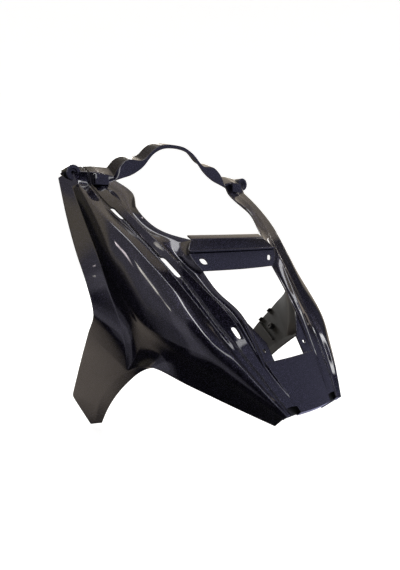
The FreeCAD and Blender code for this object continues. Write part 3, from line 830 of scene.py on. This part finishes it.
def swept(rings):
    """A closed tube through rings of points, with flat ends."""
    count = len(rings[0])
    verts = np.vstack(rings)
    faces = []
    for i in range(len(rings) - 1):
        for j in range(count):
            k = (j + 1) % count
            faces.append(((i * count + j, i * count + k, (i + 1) * count + k, (i + 1) * count + j), 0))
    faces.append((tuple(range(count))[::-1], 0))
    faces.append((tuple((len(rings) - 1) * count + j for j in range(count)), 0))
    return verts, faces


def turned(profile, at, axis, steps=48):
    """A ring-shaped solid: a closed profile of (radius, height) turned about an axis through a place."""
    axis = Vector(axis).normalized()
    side = axis.orthogonal().normalized()
    other = axis.cross(side)
    count = len(profile)
    verts, faces = [], []
    for i in range(steps):
        angle = 2 * math.pi * i / steps
        radial = side * math.cos(angle) + other * math.sin(angle)
        verts += [Vector(at) + radial * r + axis * h for r, h in profile]
        for j in range(count):
            k, n = (j + 1) % count, (i + 1) % steps
            faces.append(((i * count + j, n * count + j, n * count + k, i * count + k), 0))
    return np.array(verts), faces


def eased(corners, soft):
    """Closed profile through corner points, each corner eased by a small round."""
    ring = []
    for k, corner in enumerate(corners):
        here = np.array(corner)
        before, after = np.array(corners[k - 1]) - here, np.array(corners[(k + 1) % len(corners)]) - here
        start = here + before / np.linalg.norm(before) * soft
        end = here + after / np.linalg.norm(after) * soft
        ring += [start * (1 - t) ** 2 + here * 2 * t * (1 - t) + end * t ** 2 for t in (0, 0.35, 0.65, 1)]
    return ring


class FAIRING_OT_shell(bpy.types.Operator):
    """Builds the moulded shell with its slots, holes and notches"""
    bl_idname = "fairing.shell"
    bl_label = "Moulded Shell"

    def execute(self, context):
        colours = context.scene.fairing_colours
        verts, faces = shell_mesh(context.scene.fairing_sizes)
        shell = new_piece("moulded_shell", verts, faces, [painted_abs(colours), bare_abs(colours)], 1)
        on_frame(shell)
        return {"FINISHED"}


class FAIRING_OT_crossbar(bpy.types.Operator):
    """Builds the crossbar's bead and the ledge behind its upper edge"""
    bl_idname = "fairing.crossbar"
    bl_label = "Crossbar Bead and Ledge"

    def execute(self, context):
        sizes = context.scene.fairing_sizes
        lines, _ = feature_lines(sizes)
        verts, faces = np.zeros((0, 3)), []
        bead, wall, ledge, rise = sizes.bead, sizes.wall, sizes.ledge, sizes.ledge_rise
        for station, profile in (
                ("bar_mid", [(-bead, 0), (-bead, bead), (wall / 2, bead), (wall / 2, 0)]),
                ("bar_top", [(0, -wall / 2), (ledge, rise), (ledge, rise + wall), (0, wall / 2)])):
            end, middle = lines["opening"][station], lines["centre"][station]
            rings = []
            for share in np.linspace(-1, 1, 33):
                place = middle + (end - middle) * share ** 2
                place[0] = end[0] * share
                rings.append([place + (0, y, z) for y, z in profile])
            more, more_faces = swept(rings)
            faces += [(tuple(i + len(verts) for i in f), m) for f, m in more_faces]
            verts = np.vstack([verts, more])
        trim = new_piece("crossbar_trim", verts, faces, [painted_abs(context.scene.fairing_colours)])
        rounded(trim, 0.8 * MM)
        on_frame(trim)
        return {"FINISHED"}


class FAIRING_OT_bosses(bpy.types.Operator):
    """Builds the screw bosses at the top outer corners"""
    bl_idname = "fairing.bosses"
    bl_label = "Screw Bosses"

    def execute(self, context):
        sizes = context.scene.fairing_sizes
        _, boss = feature_lines(sizes)
        profile = eased([(sizes.screw_radius, sizes.head_depth), (sizes.head_radius, sizes.head_depth),
                         (sizes.head_radius, 0), (sizes.boss_radius, 0),
                         (sizes.boss_radius, sizes.boss_length), (sizes.screw_radius, sizes.boss_length)],
                        1.2 * MM)
        verts, faces = both_sides(*turned(profile, boss - (0, sizes.boss_proud, 0), (0, 1, 0)))
        piece = new_piece("screw_bosses", verts, faces, [painted_abs(context.scene.fairing_colours)])
        on_frame(piece)
        return {"FINISHED"}


def box_faces(low, high):
    """Corner points and faces of a box."""
    (x0, x1), (y0, y1), (z0, z1) = zip(low, high)
    verts = np.array([(x, y, z) for z in (z0, z1) for y in (y0, y1) for x in (x0, x1)])
    sides = ((0, 2, 3, 1), (4, 5, 7, 6), (0, 1, 5, 4), (2, 6, 7, 3), (0, 4, 6, 2), (1, 3, 7, 5))
    return verts, [(side, 0) for side in sides]


def cut_by(piece, verts, faces):
    """Cuts a solid out of a piece for good."""
    cutter = new_piece(piece.name + "_cutter", verts, faces, [])
    cut = piece.modifiers.new("cut", "BOOLEAN")
    cut.operation = "DIFFERENCE"
    cut.solver = "EXACT"
    cut.object = cutter
    graph = bpy.context.evaluated_depsgraph_get()
    mesh = bpy.data.meshes.new_from_object(piece.evaluated_get(graph))
    piece.modifiers.clear()
    piece.data = mesh
    bpy.data.objects.remove(cutter)
    return piece


class FAIRING_OT_pockets(bpy.types.Operator):
    """Builds the plates behind the notches of the nose edge"""
    bl_idname = "fairing.pockets"
    bl_label = "Nose Pockets"

    def execute(self, context):
        sizes = context.scene.fairing_sizes
        lines, _ = feature_lines(sizes)
        up = lines["centre"]["sill"] - lines["centre"]["nose"]
        up = up / np.linalg.norm(up)
        out = np.cross((1, 0, 0), up)
        start = lines["shoulder"]["nose"] * (0, 1, 1)
        middle = lines["frame"]["nose"][0] - sizes.wall / 2
        half = sizes.notch_width / 2 + 3 * sizes.wall
        box, faces = box_faces((middle - half, -sizes.pocket_depth - sizes.wall, 0),
                               (middle + half, -sizes.pocket_depth, sizes.pocket_height))
        verts = np.array([start + (x, 0, 0) + out * y + up * z for x, y, z in box])
        piece = new_piece("nose_pockets", *both_sides(verts, faces),
                          [bare_abs(context.scene.fairing_colours)])
        rounded(piece, 0.6 * MM)
        on_frame(piece)
        return {"FINISHED"}


class FAIRING_OT_clips(bpy.types.Operator):
    """Builds the clip blocks below the top flange, each with a slot from its outer side"""
    bl_idname = "fairing.clips"
    bl_label = "Clip Blocks"

    def execute(self, context):
        sizes = context.scene.fairing_sizes
        lines, _ = feature_lines(sizes)
        width, depth, height = sizes.clip_size
        wall = sizes.wall
        low = np.array((lines["frame"]["top"][0] - width / 2, lines["frame"]["crest"][1] - depth,
                        lines["frame"]["top"][2] - wall))
        verts, faces = both_sides(*box_faces(low, low + (width, depth + wall / 2, height)))
        piece = new_piece("clip_blocks", verts, faces, [painted_abs(context.scene.fairing_colours)])
        # The slot runs from the block's middle out through its outer side and its foot.
        slot_low = low + (width / 2, wall, -wall)
        slot = box_faces(slot_low, slot_low + (width * 0.6, sizes.clip_slot, height - 2 * wall))
        cut_by(piece, *both_sides(*slot))
        rounded(piece, 0.7 * MM)
        on_frame(piece)
        return {"FINISHED"}


class FAIRING_OT_gussets(bpy.types.Operator):
    """Builds the gussets in the lower corners of the lower opening, each with a screw hole"""
    bl_idname = "fairing.gussets"
    bl_label = "Corner Gussets"

    def execute(self, context):
        sizes = context.scene.fairing_sizes
        lines, _ = feature_lines(sizes)
        run = ARM[1:5]
        wall = sizes.wall
        corner, up, _, _ = place_on(lines, ("opening", "frame"), run, 0.0, 0.0)
        reach = np.linalg.norm(lines["opening"]["window"] - corner)
        upper, _ = spot(lines, "opening", run, sizes.gusset_height / reach)
        lower = corner - (sizes.gusset_width, 0, 0)
        plane = np.cross(upper - corner, lower - corner)
        plane = plane / np.linalg.norm(plane)
        if plane[1] > 0:
            plane = -plane
        # The root reaches into the shell.
        root = np.array((1.5 * wall, 0, 0))
        seat = [corner + root - up * root[0], upper + root, upper,
                lower + up * (sizes.gusset_height * GUSSET_FREE_SHARE), lower - up * root[0]]
        seat = [p - plane * (wall / 2 + plane @ (p - corner)) for p in seat]
        verts, faces = swept([seat, [p - plane * wall for p in seat]])
        piece = new_piece("corner_gussets", *both_sides(verts, faces),
                          [painted_abs(context.scene.fairing_colours)])
        across, above = GUSSET_HOLE_SHARES
        hole_at = corner - (sizes.gusset_width * across, 0, 0) + up * (sizes.gusset_height * above)
        ring = [(sizes.screw_radius * math.cos(a), sizes.screw_radius * math.sin(a))
                for a in np.linspace(0, 2 * math.pi, 33)[:-1]]
        axis = Vector(plane)
        side = axis.orthogonal().normalized()
        other = axis.cross(side)
        # The cutter reaches well past the plate on both sides.
        rings = [[hole_at + np.array(side) * x + np.array(other) * y + plane * h for x, y in ring]
                 for h in (8 * wall, -8 * wall)]
        cut_by(piece, *both_sides(*swept(rings)))
        rounded(piece, 0.5 * MM, 2)
        on_frame(piece)
        return {"FINISHED"}


def bar_tree(material):
    """Geometry Nodes tree that sets a bar at every point, turned and sized by the point's attributes."""
    tree = bpy.data.node_groups.new("Moulded bars", "GeometryNodeTree")
    tree.interface.new_socket("Geometry", in_out="INPUT", socket_type="NodeSocketGeometry")
    tree.interface.new_socket("Thickness", in_out="INPUT", socket_type="NodeSocketFloat")
    tree.interface.new_socket("Geometry", in_out="OUTPUT", socket_type="NodeSocketGeometry")
    start = add_node(tree, "NodeGroupInput")
    turn = add_node(tree, "GeometryNodeInputNamedAttribute", {"data_type": "FLOAT_VECTOR"}, {"Name": "turn"})
    size = add_node(tree, "GeometryNodeInputNamedAttribute", {"data_type": "FLOAT_VECTOR"}, {"Name": "bar"})
    across = add_node(tree, "ShaderNodeCombineXYZ", inputs={"X": 1.0, "Z": 1.0},
                      links={"Y": start.outputs["Thickness"]})
    bar = add_node(tree, "GeometryNodeMeshCube", links={"Size": across.outputs["Vector"]})
    euler = add_node(tree, "FunctionNodeEulerToRotation", links={"Euler": turn.outputs["Attribute"]})
    placed = add_node(tree, "GeometryNodeInstanceOnPoints",
                      links={"Points": start.outputs["Geometry"], "Instance": bar.outputs["Mesh"],
                             "Rotation": euler.outputs["Rotation"], "Scale": size.outputs["Attribute"]})
    real = add_node(tree, "GeometryNodeRealizeInstances", links={"Geometry": placed.outputs["Instances"]})
    painted = add_node(tree, "GeometryNodeSetMaterial", inputs={"Material": material},
                       links={"Geometry": real.outputs["Geometry"]})
    end = add_node(tree, "NodeGroupOutput")
    tree.links.new(painted.outputs["Geometry"], end.inputs["Geometry"])
    return tree


class FAIRING_OT_ribs(bpy.types.Operator):
    """Builds the ribs, tabs and bosses on the inner faces of the wings"""
    bl_idname = "fairing.ribs"
    bl_label = "Wing Ribs, Tabs and Bosses"

    def execute(self, context):
        sizes = context.scene.fairing_sizes
        plastic = bare_abs(context.scene.fairing_colours)
        lines, _ = feature_lines(sizes)
        run = WING[1:]
        wall, deep = sizes.wall, sizes.rib_height
        bars = []
        for u in RIB_PLACES:
            p, _ = spot(lines, "arch", run, u)
            q, _ = spot(lines, "rear", run, u)
            middle, _, _, out = place_on(lines, ("arch", "rear"), run, u, 0.5)
            reach = np.linalg.norm(q - p)
            ruling = (q - p) / reach
            bars.append((middle - out * (wall / 2 + deep / 2), ruling, np.cross(ruling, out),
                         reach * RIB_SHARE))
        for u in TAB_PLACES:
            edge, along, across, out = place_on(lines, ("arch", "rear"), run, u, 1.0)
            bars.append((edge - across * wall - out * (wall / 2 + deep / 2), along, across,
                         sizes.tab_length))
        places, turns, scales = [], [], []
        for at, along, across, length in bars:
            for flip in (1, -1):
                ways = [np.array(way) * (flip, 1, 1) for way in (along, across)]
                ways.append(np.cross(*ways))
                places.append(tuple(at * (flip, 1, 1)))
                turns.append(Matrix(np.array(ways).T.tolist()).to_euler())
                scales.append((length, 1.0, deep))
        mesh = bpy.data.meshes.new("wing_ribs")
        mesh.from_pydata(places, [], [])
        for name, values in (("turn", turns), ("bar", scales)):
            layer = mesh.attributes.new(name, "FLOAT_VECTOR", "POINT")
            layer.data.foreach_set("vector", [x for v in values for x in v])
        piece = bpy.data.objects.new("wing_ribs", mesh)
        context.scene.collection.objects.link(piece)
        grow = piece.modifiers.new("bars", "NODES")
        grow.node_group = bar_tree(plastic)
        sockets = {s.name: s.identifier for s in grow.node_group.interface.items_tree if s.in_out == "INPUT"}
        grow[sockets["Thickness"]] = sizes.rib_thick
        graph = context.evaluated_depsgraph_get()
        made = bpy.data.meshes.new_from_object(piece.evaluated_get(graph))
        piece.modifiers.clear()
        piece.data = made
        rounded(piece, 0.6 * MM, 2)
        on_frame(piece)
        middle, _, _, out = place_on(lines, ("arch", "rear"), run, WING_BOSS_PLACE, 0.5)
        inner, outer, tall = sizes.wing_screw_radius, sizes.wing_boss_radius, deep + wall
        profile = eased([(inner, 0), (outer, 0), (outer, tall), (inner, tall)], 0.5 * MM)
        verts, faces = both_sides(*turned(profile, middle - out * (wall / 2), -out))
        on_frame(new_piece("wing_bosses", verts, faces, [plastic]))
        return {"FINISHED"}


# Dome over the floor: where the floor begins to turn up, the turn's radius, and the height above the turn.
DOME_FLAT = 3.2
DOME_TURN = 0.8
DOME_RISE = 3.4
DOME_STEPS = 64
# Lamps: name, place, aim, size, power, spread in degrees, tint, and whether the gloss shows them.
LAMPS = (
    # Soft light from above, for the matte surfaces.
    ("soft overhead", (-0.1, 0.0, 1.95), (0.0, -0.2, -0.1), (1.0, 1.2), 40.0, 180, (1.0, 0.99, 0.98), False),
    # Line lamp that draws a bright edge on the right.
    ("line right", (1.6, 0.1, 0.8), (0.0, -0.2, -0.1), (0.05, 0.6), 1.2, 180, (1.0, 0.98, 0.96), True),
    # Soft light from behind.
    ("soft rear", (0.4, 1.9, 0.7), (0.0, -0.1, -0.2), (1.2, 1.0), 40.0, 180, (1.0, 0.99, 0.98), True),
    # Two narrow beams: the left side panel mirrors them as its two streaks.
    ("streak upper", (-1.37, -0.35, 0.77), (-0.19, -0.182, -0.162), (0.1, 0.3), 0.0014, 5.0,
     (1.0, 0.88, 0.92), True),
    ("streak lower", (-1.22, -0.57, 0.83), (-0.178, -0.215, -0.19), (0.14, 0.08), 0.0006, 6.8,
     (1.0, 0.95, 0.85), True),
)
# Camera: focal length in mm for a frame 36 mm high, place in metres, and viewing direction.
CAMERA_LENS = 28.4
CAMERA_PLACE = (-0.5548, -0.8412, -0.0953)
CAMERA_WAY = (0.6019, 0.787, -0.1353)


def dome_mesh():
    """Round floor that turns up into a closed dome."""
    floor_z = CAD_BOX[0].z - FLOOR_GAP
    middle_x, middle_y = STUDIO_MIDDLE
    wide = DOME_FLAT + DOME_TURN
    outline = [(DOME_FLAT, 0.0)]
    outline += [(DOME_FLAT + DOME_TURN * math.sin(a), DOME_TURN - DOME_TURN * math.cos(a))
                for a in np.linspace(0.2, math.pi / 2, 8)]
    outline += [(wide * math.cos(a), DOME_TURN + DOME_RISE * math.sin(a)) for a in np.linspace(0.15, 1.5, 10)]
    rows = len(outline)
    verts = [(middle_x + r * math.cos(a), middle_y + r * math.sin(a), floor_z + h)
             for a in np.linspace(0, 2 * math.pi, DOME_STEPS + 1)[:-1] for r, h in outline]
    verts += [(middle_x, middle_y, floor_z), (middle_x, middle_y, floor_z + DOME_TURN + DOME_RISE)]
    faces = []
    for i in range(DOME_STEPS):
        here, after = i * rows, (i + 1) % DOME_STEPS * rows
        faces.append((here, after, len(verts) - 2))
        faces.append((after + rows - 1, here + rows - 1, len(verts) - 1))
        faces += [(here + j, here + j + 1, after + j + 1, after + j) for j in range(rows - 1)]
    mesh = bpy.data.meshes.new("studio_floor")
    mesh.from_pydata(verts, [], faces)
    mesh.shade_smooth()
    return mesh


def aimed(name, data, place, way):
    """An object for a lamp or camera that looks along a way from its place."""
    holder = bpy.data.objects.new(name, data)
    holder.location = place
    holder.rotation_euler = Vector(way).to_track_quat("-Z", "Y").to_euler()
    bpy.context.scene.collection.objects.link(holder)
    return holder


class FAIRING_OT_stage(bpy.types.Operator):
    """Builds the studio: floor and dome, lamps, world and camera"""
    bl_idname = "fairing.stage"
    bl_label = "Studio"

    def execute(self, context):
        scene = context.scene
        scene.view_settings.view_transform = "Standard"
        mesh = dome_mesh()
        mesh.materials.append(pale_floor(scene.fairing_colours))
        floor = bpy.data.objects.new("studio_floor", mesh)
        scene.collection.objects.link(floor)

        world = bpy.data.worlds.new("Studio dusk")
        world.use_nodes = True
        world.node_tree.nodes["Background"].inputs["Color"].default_value = linear(DUSK_TONE)
        scene.world = world

        for name, place, aim, size, power, spread, tint, in_gloss in LAMPS:
            lamp = bpy.data.lights.new(name, "AREA")
            lamp.shape = "RECTANGLE"
            lamp.size, lamp.size_y = size
            lamp.energy = power
            lamp.spread = math.radians(spread)
            lamp.color = tint
            aimed(name, lamp, place, Vector(aim) - Vector(place)).visible_glossy = in_gloss

        camera = bpy.data.cameras.new("camera")
        camera.lens = CAMERA_LENS
        scene.camera = aimed("camera", camera, CAMERA_PLACE, CAMERA_WAY)
        return {"FINISHED"}


class FAIRING_PT_panel(bpy.types.Panel):
    """Sizes, colours and building steps of the fairing"""
    bl_idname = "FAIRING_PT_panel"
    bl_label = "Front Fairing"
    bl_space_type = "VIEW_3D"
    bl_region_type = "UI"
    bl_category = "Fairing"

    def draw(self, context):
        for group in (context.scene.fairing_sizes, context.scene.fairing_colours):
            for name in group.__annotations__:
                self.layout.prop(group, name)
        for operator in OPERATORS:
            self.layout.operator(operator.bl_idname)


OPERATORS = (FAIRING_OT_shell, FAIRING_OT_crossbar, FAIRING_OT_bosses, FAIRING_OT_pockets, FAIRING_OT_clips,
             FAIRING_OT_gussets, FAIRING_OT_ribs, FAIRING_OT_stage)
CLASSES = (FairingSizes, FairingColours, *OPERATORS, FAIRING_PT_panel)


def register():
    """Registers the classes and gives the scene its sizes and colours."""
    for made in CLASSES:
        bpy.utils.register_class(made)
    bpy.types.Scene.fairing_sizes = bpy.props.PointerProperty(type=FairingSizes)
    bpy.types.Scene.fairing_colours = bpy.props.PointerProperty(type=FairingColours)


def unregister():
    """Takes back what register did."""
    del bpy.types.Scene.fairing_colours
    del bpy.types.Scene.fairing_sizes
    for made in reversed(CLASSES):
        bpy.utils.unregister_class(made)


def main():
    register()
    for name in ("shell", "crossbar", "bosses", "pockets", "clips", "gussets", "ribs", "stage"):
        getattr(bpy.ops.fairing, name)()


if __name__ == "__main__":
    main()
